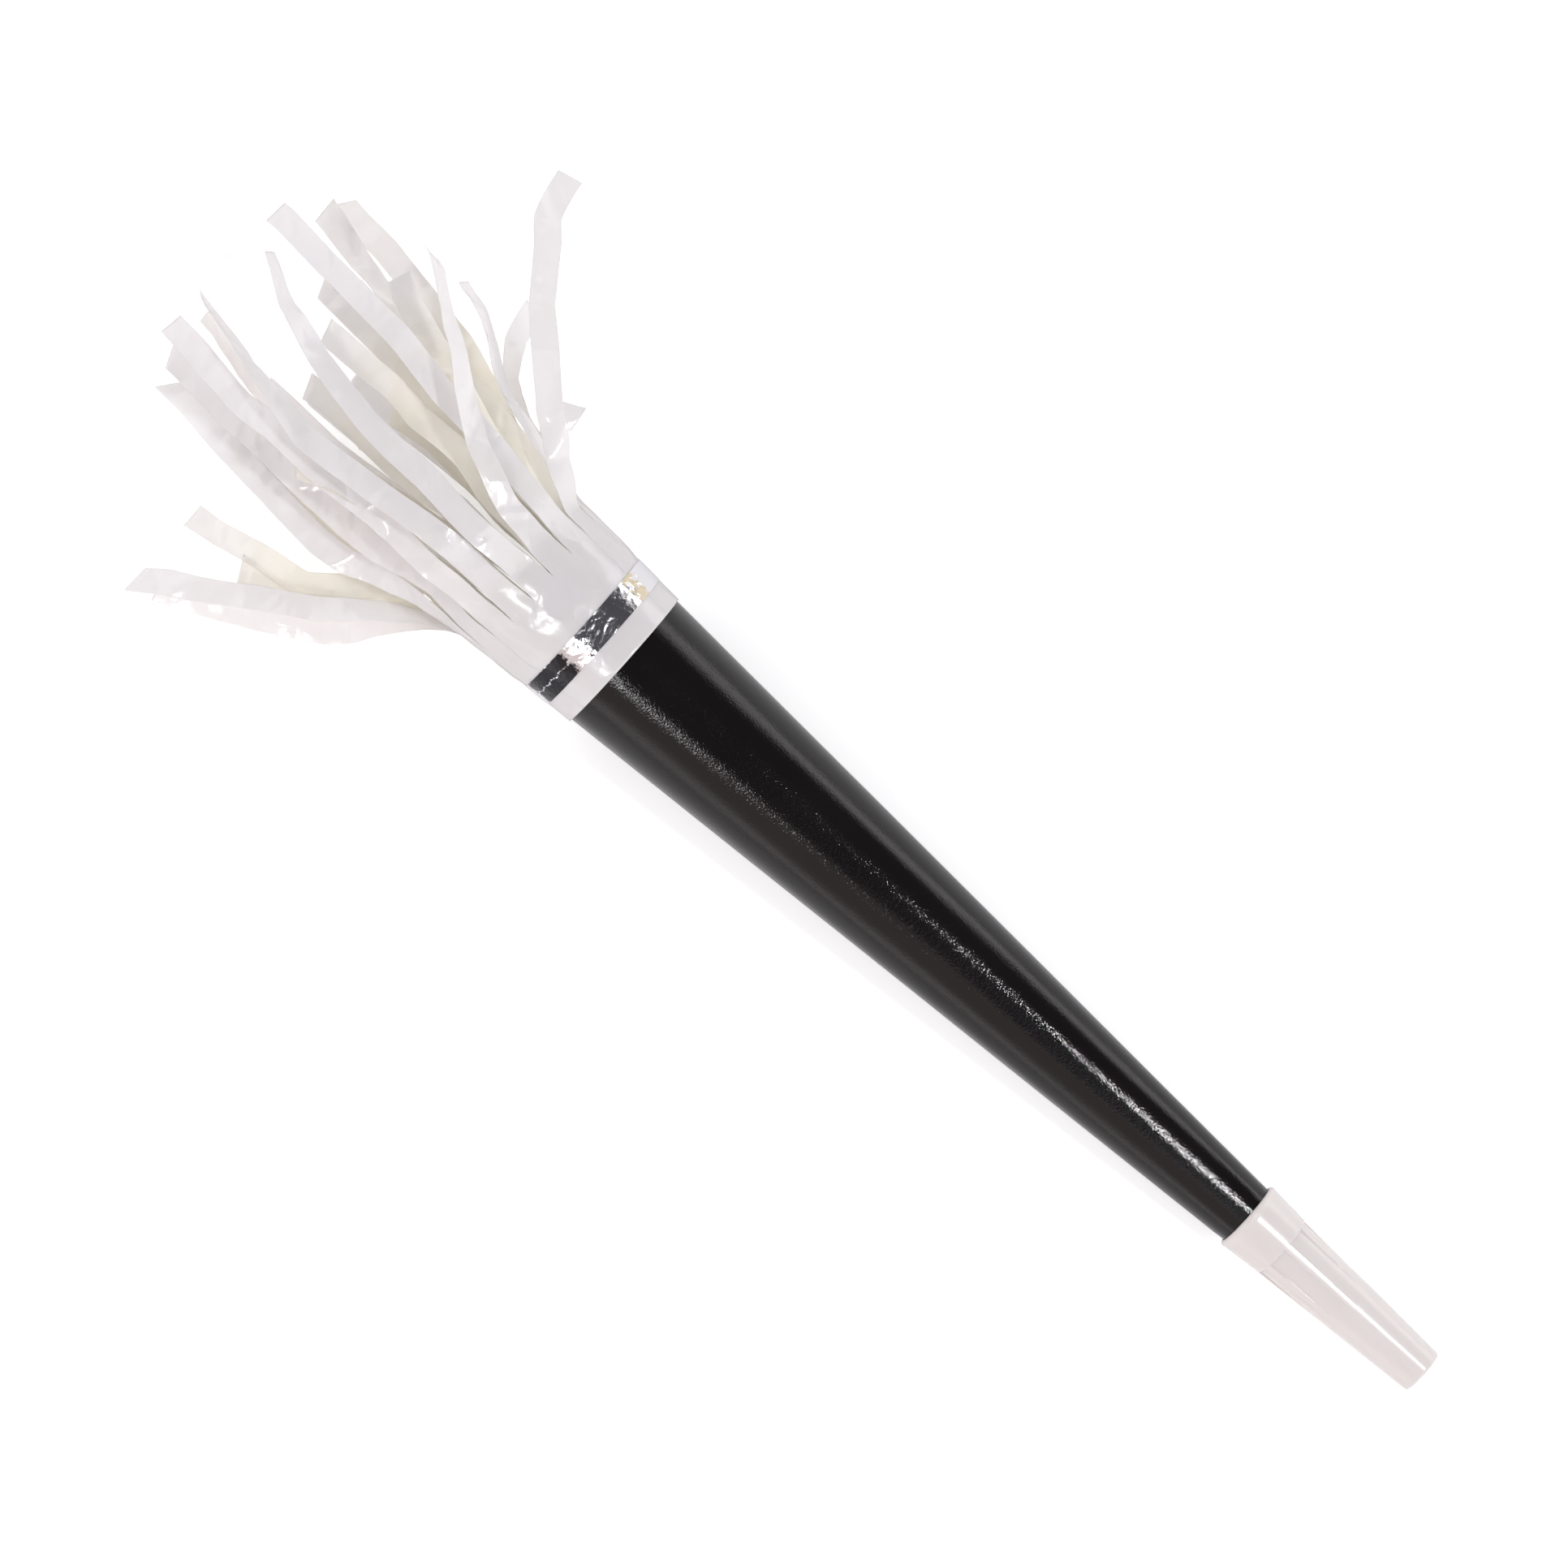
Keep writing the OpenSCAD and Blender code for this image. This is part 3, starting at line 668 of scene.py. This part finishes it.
class HORN_OT_mouthpiece(bpy.types.Operator):
    """Make the moulded mouthpiece, with its grip recesses, rounded rim and parting line"""
    bl_idname = "party_horn.mouthpiece"
    bl_label = "Mouthpiece"

    def execute(self, context):
        s = sizes()
        rim_r = s.throat_d / 2 + s.rim_wall
        rim_round, tip_round, edge_round = 0.9 * MM, 0.7 * MM, 0.4 * MM
        neck_z, shoulder_z = 2.2 * MM, 11 * MM
        neck_r, shoulder_r, tip_r = rim_r - 0.2 * MM, rim_r - 0.85 * MM, s.tip_d / 2
        fit_gap, plug_from = 0.05 * MM, s.socket_l + 1 * MM
        seat_end = plug_from + 8 * MM
        chamber_end = seat_end + 16 * MM
        chamber_r, breath_r = (s.seat_d - 1 * MM) / 2, s.breath_d / 2
        profile = arc_points((tip_r - tip_round, -s.mouth_l + tip_round), tip_round, -90, 0, 9)
        profile += line_points(profile.pop(), (shoulder_r, -shoulder_z), 150)
        profile += line_points((shoulder_r, -shoulder_z), (neck_r, -neck_z), 40)
        profile.append((neck_r, -neck_z))
        profile += arc_points((rim_r - rim_round, -rim_round), rim_round, -35, 90, 14)
        outside_count = 190
        mouth, deepest = (cone_r(0) + fit_gap, -0.3 * MM), (cone_r(-s.socket_l) + fit_gap, -s.socket_l)
        profile += line_points((cone_r(0) + 0.28 * MM, 0), mouth, 3)
        profile += line_points(mouth, deepest, 10)
        profile += [deepest, (s.seat_d / 2, -s.socket_l)]
        profile += [(s.seat_d / 2, -seat_end), (chamber_r, -seat_end), (chamber_r, -chamber_end)]
        profile += [(breath_r, -chamber_end), (breath_r, -s.mouth_l + edge_round)]
        profile += arc_points((breath_r + edge_round, -s.mouth_l + edge_round), edge_round, 180, 270, 6)[1:]
        radius = np.array([p[0] for p in profile])[:, None]
        z = np.array([p[1] for p in profile])[:, None]
        columns, recesses, first, half, soften = 420, 7, 121, 18.4, 1.0
        shoulder_soft, hollow, seam_w, seam_h = 0.24 * MM, 0.12 * MM, 0.35, 0.018 * MM
        angle = 90 + np.arange(columns) * 360 / columns
        pitch = 360 / recesses
        off = np.abs((angle - first + pitch / 2) % pitch - pitch / 2)
        outer = (np.arange(len(profile)) < outside_count)[:, None]
        left = np.clip(1 - (-shoulder_z - z) / s.flat_l, 0, 1)
        below = smooth_step((-shoulder_z + shoulder_soft / 2 - z) / shoulder_soft)
        depth = s.flat_depth * left ** 1.2 * below
        inside = 1 - smooth_step((off - half + soften / 2) / soften)
        flatter = hollow * np.cos(np.radians(off / half * 90)) * left
        radius = radius - outer * inside * (depth + np.where(z < -shoulder_z, flatter, 0))
        seam = np.exp(-(np.minimum(np.abs(angle - 180), np.abs(angle - 360)) / seam_w) ** 2)
        radius = radius + outer * seam * seam_h
        points = laid(around(angle, radius, z))
        piece = new_piece("mouthpiece_moulding", points, grid_faces(len(profile), columns, True, True), 50)
        dress(piece, moulding_material())
        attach(piece, "horn")
        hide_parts("mouthpiece")
        return {"FINISHED"}


class HORN_OT_reed(bpy.types.Operator):
    """Give the reed's plug, wedge, heel and tongue their finishes"""
    bl_idname = "party_horn.reed"
    bl_label = "Reed"

    def execute(self, context):
        moulded, strip = reed_moulding_material(), reed_strip_material()
        for name in ("reed_plug", "reed_wedge"):
            dress(frame["nodes"][name], moulded)
        for name in ("reed_heel", "reed_tongue"):
            dress(frame["nodes"][name], strip)
        return {"FINISHED"}


# ---------------------------------------------------------------- the foil tape

class HORN_OT_foil(bpy.types.Operator):
    """Wind the crumpled foil tape round the band, with its torn end at the right and a painted dark
    reflection on it
    """
    bl_idname = "party_horn.foil"
    bl_label = "Foil tape"

    def execute(self, context):
        s, f = sizes(), fringe_sizes()
        rng = np.random.default_rng(5)
        columns, rows, end_at = 720, 33, 133
        tape_from = s.cone_l + f.band_over - f.band_h + s.tape_set
        angle = end_at + np.arange(columns) * 360 / columns
        z = (tape_from + np.linspace(0, 1, rows) * s.tape_w)[:, None]
        run = np.radians(angle - end_at) * tape_r(tape_from)
        side = z - tape_from - s.tape_w / 2
        dents = ridges(rng, run, side, 420, (0, run[-1], s.tape_w / 2), 0.035 * MM, 1.0 * MM, 3.0)
        fold = 0.05 * MM * np.maximum(0, 1 - np.abs(side + 0.3 * MM * np.sin(run * 900)) / (0.8 * MM))
        torn = 1 - smooth_step((run - 1.2 * MM) / (4.5 * MM))
        torn = torn + smooth_step((run - run[-1] + 1.0 * MM) / (1.0 * MM))
        crumple = ridges(rng, run, side, 40, (-2 * MM, 6 * MM, 3 * MM), 0.30 * MM, 0.8 * MM, 3.0)
        lift = torn * (0.10 * MM + crumple)
        hold = smooth_step((s.tape_w / 2 - np.abs(side)) / (0.5 * MM))
        surface = tape_r(z) + s.tape_t * 0.7 + hold * np.clip(dents + fold + lift, -0.06 * MM, 0.35 * MM)
        edge = z + 0.10 * MM * np.sin(run * 2300) * torn * np.sign(side)
        outside = around(angle, surface, edge)
        inside = around(angle, tape_r(z) + 0 * angle, z)[::-1]
        points = laid(np.concatenate([outside, inside]))
        piece = new_piece("foil_tape_wrap", points, grid_faces(2 * rows, columns, True, True), 60)
        worn = piece.data.attributes.new("worn", "FLOAT", "POINT")
        worn.data.foreach_set("value", np.tile(torn * 0.9, 2 * rows).astype(np.float32))
        # Painted dark reflection between these angles round the tape, crossed by a painted highlight line
        # where the dark is lifted.
        painted_dark_from, painted_dark_to, edge_turn = 371, 418, 10
        painted_dark = smooth_step((angle - painted_dark_from) / edge_turn) * (1 - smooth_step((angle - painted_dark_to) / edge_turn))
        painted_highlight_line = np.exp(-((side + 0.2 * MM * np.sin(run * 1700)) / (0.35 * MM)) ** 2)
        painted_dark = painted_dark[None, :] * (1 - 0.75 * painted_highlight_line)
        painted_dark = painted_dark * smooth_step((s.tape_w / 2 - np.abs(side) + 0.4 * MM) / (0.9 * MM))
        both = np.concatenate([painted_dark, painted_dark[::-1]])
        painted_reflection = piece.data.attributes.new("painted_reflection", "FLOAT", "POINT")
        painted_reflection.data.foreach_set("value", both.astype(np.float32).ravel())
        dress(piece, foil_material())
        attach(piece, "horn")
        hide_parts("foil_tape")
        return {"FINISHED"}


# ---------------------------------------------------------------- the fringe

def catmull(knots, step):
    """A smooth line through the knots, about a step apart: its first span is straight."""
    knots = np.asarray(knots, float)
    last = len(knots) - 1
    line = []
    for i in range(last):
        a, b, c = knots[max(i - 1, 0)], knots[i], knots[i + 1]
        d = 2 * knots[last] - knots[last - 1] if i == last - 1 else knots[i + 2]
        count = max(2, round(np.linalg.norm((c - b)[:3]) / step))
        t = (np.arange(count + (i == last - 1)) / count)[:, None]
        straight = b + (c - b) * t
        bowed = (2 * b + (c - a) * t + (2 * a - 5 * b + 4 * c - d) * t ** 2
                 + (3 * b - a - 3 * c + d) * t ** 3) / 2
        line.append(straight if i == 0 else bowed + CRISPNESS * (straight - bowed))
    return np.concatenate(line)


def strip_line(ply, angle, points):
    """A strip's centre line and its roll, on the same route as its solid."""
    s, f = sizes(), fringe_sizes()
    z = s.cone_l + f.band_over + f.root_gap
    root = laid(around(angle, ply_r(ply, z) + f.film_t / 2, z))
    ahead = laid(around(angle, ply_r(ply, z + f.lead_l) + f.film_t / 2, z + f.lead_l))
    foot = laid((0, 0, s.cone_l))
    foot[1:] = 0, CAD_BOX[0].z
    turns = 180 * round((points[0][3] - angle + 90) / 180)
    knots = [(*root, angle - 90), (*ahead, angle - 90)]
    for out, side, up, roll in points:
        knots.append((*(foot + np.array((out, side, up)) * MM), roll - turns))
    line = catmull(knots, f.row)
    return line[:, :3], line[:, 3]


def wrinkle(angle, z):
    """How far the wound film puckers outwards above the tape, in metres."""
    a = np.radians(angle)
    clear = 1 - 0.95 * smooth_step(-1.3 * np.sin(a))
    folds = np.abs(np.sin(4.5 * a + 60 * z)) + 0.6 * np.abs(np.sin(8 * a - 130 * z + 0.7))
    return (0.20 * folds + 0.12 * np.abs(np.sin(13 * a + 210 * z))) * clear * MM


def zigzag(rng, run, spacing, size):
    """Random straight runs along a strip, within -size and size, that meet in sharp bends."""
    bends = [0.0]
    while bends[-1] < run[-1]:
        bends.append(bends[-1] + spacing * rng.uniform(0.5, 1.5))
    return np.interp(run, bends, rng.uniform(-size, size, len(bends)))


def film_strip(ply, angle, points):
    """One strip with its share of the band, as rows of points across it, and how many rows are band."""
    s, f = sizes(), fringe_sizes()
    rng = np.random.default_rng(1000 + ply * 400 + angle % 360)
    across = np.sin(np.radians(np.linspace(-90, 90, 11)))[None, :]
    band_from = s.cone_l + f.band_over - f.band_h
    band_to = s.cone_l + f.band_over
    tape_to = band_from + s.tape_set + s.tape_w
    z = np.linspace(band_from, band_to, 44)[:, None]
    turn = angle + across * STRIP_PITCH / 2
    pucker = wrinkle(turn, z) * smooth_step((z - tape_to) / (4 * MM))
    band = laid(around(turn, ply_r(ply, z) + f.film_t / 2 + pucker, z))

    line, roll = strip_line(ply, angle, points)
    run = np.concatenate([[0], np.cumsum(np.linalg.norm(np.diff(line, axis=0), axis=1))])
    left = run[-1] - run
    way = np.gradient(line, axis=0)
    way /= np.linalg.norm(way, axis=1)[:, None]
    level = np.cross(way, (0, 0, 1))
    level /= np.linalg.norm(level, axis=1)[:, None]
    over = np.cross(way, level)
    free = smooth_step((run - 8 * MM) / (14 * MM))
    roll = np.radians(roll + free * zigzag(rng, run, 13 * MM, 9))[:, None]
    side = level * np.cos(roll) + over * np.sin(roll)
    up = np.cross(side, way)

    width = f.strip_w / 2 * (1 + zigzag(rng, run, 15 * MM, 0.06) * free) * (1 + rng.uniform(-0.08, 0.02))
    u = across * width[:, None]
    slant = rng.uniform(-0.75, 0.75)
    ahead = slant * u * smooth_step(1 - left / (7 * MM))[:, None]
    cup = zigzag(rng, run, 16 * MM, 0.4 * MM)[:, None] * (1 - across ** 2)
    line = line + (free * zigzag(rng, run, 12 * MM, 0.75 * MM))[:, None] * level
    bend = zigzag(rng, run, 9 * MM, 0.7 * MM)[:, None]
    folds, nicks = int(run[-1] / (5 * MM)), int(run[-1] / (2.2 * MM))
    creases = ridges(rng, run[:, None], u, folds, (10 * MM, run[-1], 3 * MM), 0.35 * MM, 3.4 * MM)
    small = ridges(rng, run[:, None], u, nicks, (5 * MM, run[-1], 2 * MM), 0.22 * MM, 1.5 * MM, 1.5)
    lift = free[:, None] * (cup + bend + creases + small)
    loose = (line[:, None, :] + side[:, None, :] * u[..., None] + way[:, None, :] * ahead[..., None]
             + up[:, None, :] * lift[..., None])
    lowest = CAD_BOX[0].z + (0.35 if ply == 0 else 0.1) * MM
    loose[..., 2] = np.maximum(loose[..., 2], lowest)

    z = band_to + f.root_gap + run[:, None]
    slit = 1 - 0.045 * smooth_step(run / (3 * MM))[:, None]
    on_horn = ply_r(ply, z) + f.film_t / 2 + wrinkle(turn, z)
    wound = laid(around(angle + across * slit * STRIP_PITCH / 2, on_horn, z))
    away = smooth_step((run - 1.5 * MM) / (11 * MM))[:, None, None]
    strip = wound * (1 - away) + loose * away
    return np.concatenate([band, strip]), len(band)


class HORN_OT_fringe(bpy.types.Operator):
    """Wind the two plies of slit film round the bell, a sheet for each lock and its share of the band"""
    bl_idname = "party_horn.fringe"
    bl_label = "Film fringe"

    def execute(self, context):
        f = fringe_sizes()
        film = film_material()
        root = laid(around(90, 0, sizes().cone_l + f.band_over))
        pitch_w = math.radians(STRIP_PITCH) * ply_r(1, sizes().cone_l)
        for (lock, ply), strips in FRINGE.items():
            points, faces, deep, area, longest = [], [], [], 0.0, 0.0
            for angle, route in strips:
                rows, band_rows = film_strip(PLIES.index(ply), angle, route)
                free_l = f.root_gap + (len(rows) - band_rows) * f.row
                area += pitch_w * f.band_h + f.strip_w * free_l
                longest = max(longest, free_l)
                faces += grid_faces(len(rows), rows.shape[1], start=sum(len(p) for p in points))
                points.append(rows.reshape(-1, 3))
                run = np.maximum(0, np.arange(len(rows)) - band_rows) * f.row
                # Painted bounce light: inner strips are tinted cream near their roots, and the tint fades out
                # along each strip.
                painted_bounce_tint = np.full(len(rows), 0.06)
                if ply == "inner":
                    painted_bounce_tint = 0.85 - 0.65 * smooth_step((run - 45 * MM) / (30 * MM))
                deep.append(np.repeat(painted_bounce_tint, rows.shape[1]))
            piece = new_piece(f"fringe_{lock}_{ply}", np.concatenate(points), faces, 35)
            shade = piece.data.attributes.new("deep", "FLOAT", "POINT")
            shade.data.foreach_set("value", np.concatenate(deep).astype(np.float32))
            join_band(piece)
            thicken(piece, f.sheet_t)
            dress(piece, film)
            replaced = [f"strip_{ply}_{angle % 360}" for angle, _ in strips]
            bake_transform(piece)
            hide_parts(*replaced, *([f"band_{ply}"] if lock == "top" else []))
        return {"FINISHED"}


def join_band(piece):
    """Joins neighbouring strips where they are still one sheet."""
    mesh = bmesh.new()
    mesh.from_mesh(piece.data)
    bmesh.ops.remove_doubles(mesh, verts=mesh.verts, dist=0.001 * MM)
    mesh.to_mesh(piece.data)
    mesh.free()


def thicken(piece, thickness):
    """Gives a sheet its thickness, half to each side."""
    modifier = piece.modifiers.new("thickness", "SOLIDIFY")
    modifier.thickness = thickness
    modifier.offset = 0
    modifier.use_even_offset = False
    shaped = bpy.data.meshes.new_from_object(piece.evaluated_get(bpy.context.evaluated_depsgraph_get()))
    piece.modifiers.clear()
    piece.data = shaped
    piece.data.name = piece.name


# ---------------------------------------------------------------- the stage

def area_light(name, place, target, across, along, power, tint=(1, 1, 1)):
    """A rectangular light that faces a target, its long side in line with the horn."""
    light = bpy.data.lights.new(name, "AREA")
    light.shape = "RECTANGLE"
    light.size, light.size_y = along, across
    light.energy = power * STUDIO_LEVEL
    light.color = tint
    lamp = bpy.data.objects.new(name, light)
    back = (Vector(place) - Vector(target)).normalized()
    right = (Vector((1, 0, 0)) - back * back.x).normalized()
    up = back.cross(right)
    lamp.matrix_world = Matrix.Translation(place) @ Matrix((right, up, back)).transposed().to_4x4()
    bpy.context.scene.collection.objects.link(lamp)
    return lamp


class HORN_OT_stage(bpy.types.Operator):
    """Make the floor, the lights, the surroundings and the camera"""
    bl_idname = "party_horn.stage"
    bl_label = "Stage"

    def execute(self, context):
        self.make_floor()
        self.make_lights()
        self.make_world(context.scene)
        self.make_camera(context.scene)
        return {"FINISHED"}

    def make_floor(self):
        half, z = 3.0, CAD_BOX[0].z - 0.05 * MM
        side = np.linspace(-half, half, 13)
        x, y = np.meshgrid(side, side)
        points = np.stack([x, y, np.full_like(x, z)], axis=-1)
        floor = new_piece("studio_floor", points, grid_faces(13, 13))
        dress(floor, floor_material())

    def make_lights(self):
        middle = (CAD_BOX[0] + CAD_BOX[1]) / 2
        bell = Vector(laid((0, 0, sizes().cone_l)))
        area_light("left_wall", middle + Vector((0, 0.79, 0.53)), middle, 1.1, 1.6, 2.6, (1, 0.86, 0.82))
        area_light("right_wall", middle + Vector((0, -0.95, 0.14)), middle, 0.30, 1.6, 1.5, (1, 0.95, 0.93))
        for end, way in (("bell", 1), ("mouth", -1)):
            place = middle + Vector((way * 0.85, 0, 0.72))
            area_light(f"{end}_end_wall", place, middle, 1.2, 1.2, 4.4, (0.97, 0.97, 1))
        area_light("near_key", Vector((-0.13, -0.20, 0.62)), (0.10, 0, 0), 0.055, 0.035, 1.2)
        area_light("bell_key", Vector((0.175, 0.34, 0.62)), bell, 0.10, 0.04, 0.45)

    def make_world(self, scene):
        world = bpy.data.worlds.new("studio")
        world.use_nodes = True
        tree = world.node_tree
        place = tree.nodes.new("ShaderNodeTexCoord")
        height = tree.nodes.new("ShaderNodeSeparateXYZ")
        ramp = tree.nodes.new("ShaderNodeValToRGB")
        ramp.color_ramp.elements[0].position = 0.12
        ramp.color_ramp.elements[0].color = (0.85, 0.84, 0.85, 1)
        ramp.color_ramp.elements[1].position = 0.4
        ramp.color_ramp.elements[1].color = (0.05, 0.05, 0.055, 1)
        link(tree, place.outputs["Generated"], height.inputs[0])
        link(tree, height.outputs["Z"], ramp.inputs["Fac"])
        link(tree, ramp.outputs["Color"], tree.nodes["Background"].inputs["Color"])
        tree.nodes["Background"].inputs["Strength"].default_value = STUDIO_LEVEL
        scene.world = world

    def make_camera(self, scene):
        height, view_w, turn = 3.0, 351 * MM, -138.26
        data = bpy.data.cameras.new("camera")
        data.sensor_width = 36
        target = Vector((195.1 * MM, -3.1 * MM, CAD_BOX[0].z + 16 * MM))
        data.lens = data.sensor_width * height / view_w
        data.clip_start, data.clip_end = 0.1, 20
        camera = bpy.data.objects.new("camera", data)
        camera.location = target + Vector((0, 0, height))
        camera.rotation_euler = (0, 0, math.radians(turn))
        scene.collection.objects.link(camera)
        scene.camera = camera
        scene.view_settings.view_transform = "Standard"


class HORN_PT_panel(bpy.types.Panel):
    """The horn's pieces and sizes in the sidebar"""
    bl_idname = "HORN_PT_panel"
    bl_label = "Party Horn"
    bl_space_type = "VIEW_3D"
    bl_region_type = "UI"
    bl_category = "Party Horn"

    def draw(self, context):
        scene = context.scene
        for group in (scene.horn_sizes, scene.fringe_sizes, scene.horn_colours):
            box = self.layout.box()
            box.label(text=type(group).__doc__)
            for name in type(group).__annotations__:
                box.prop(group, name)
        for maker in MAKERS:
            self.layout.operator(maker.bl_idname)


MAKERS = (HORN_OT_stage, HORN_OT_cone, HORN_OT_mouthpiece, HORN_OT_reed, HORN_OT_foil, HORN_OT_fringe)
GROUPS = {"horn_sizes": HornSizes, "fringe_sizes": FringeSizes, "horn_colours": HornColours}


def register():
    for group in GROUPS.values():
        bpy.utils.register_class(group)
    for maker in MAKERS + (HORN_PT_panel,):
        bpy.utils.register_class(maker)
    for name, group in GROUPS.items():
        setattr(bpy.types.Scene, name, bpy.props.PointerProperty(type=group))


def unregister():
    for name in GROUPS:
        delattr(bpy.types.Scene, name)
    for made in (HORN_PT_panel,) + MAKERS[::-1] + tuple(GROUPS.values()):
        bpy.utils.unregister_class(made)


def main():
    register()
    bpy.ops.party_horn.stage()
    bpy.ops.party_horn.cone()
    bpy.ops.party_horn.mouthpiece()
    bpy.ops.party_horn.reed()
    bpy.ops.party_horn.foil()
    bpy.ops.party_horn.fringe()


if __name__ == "__main__":
    main()
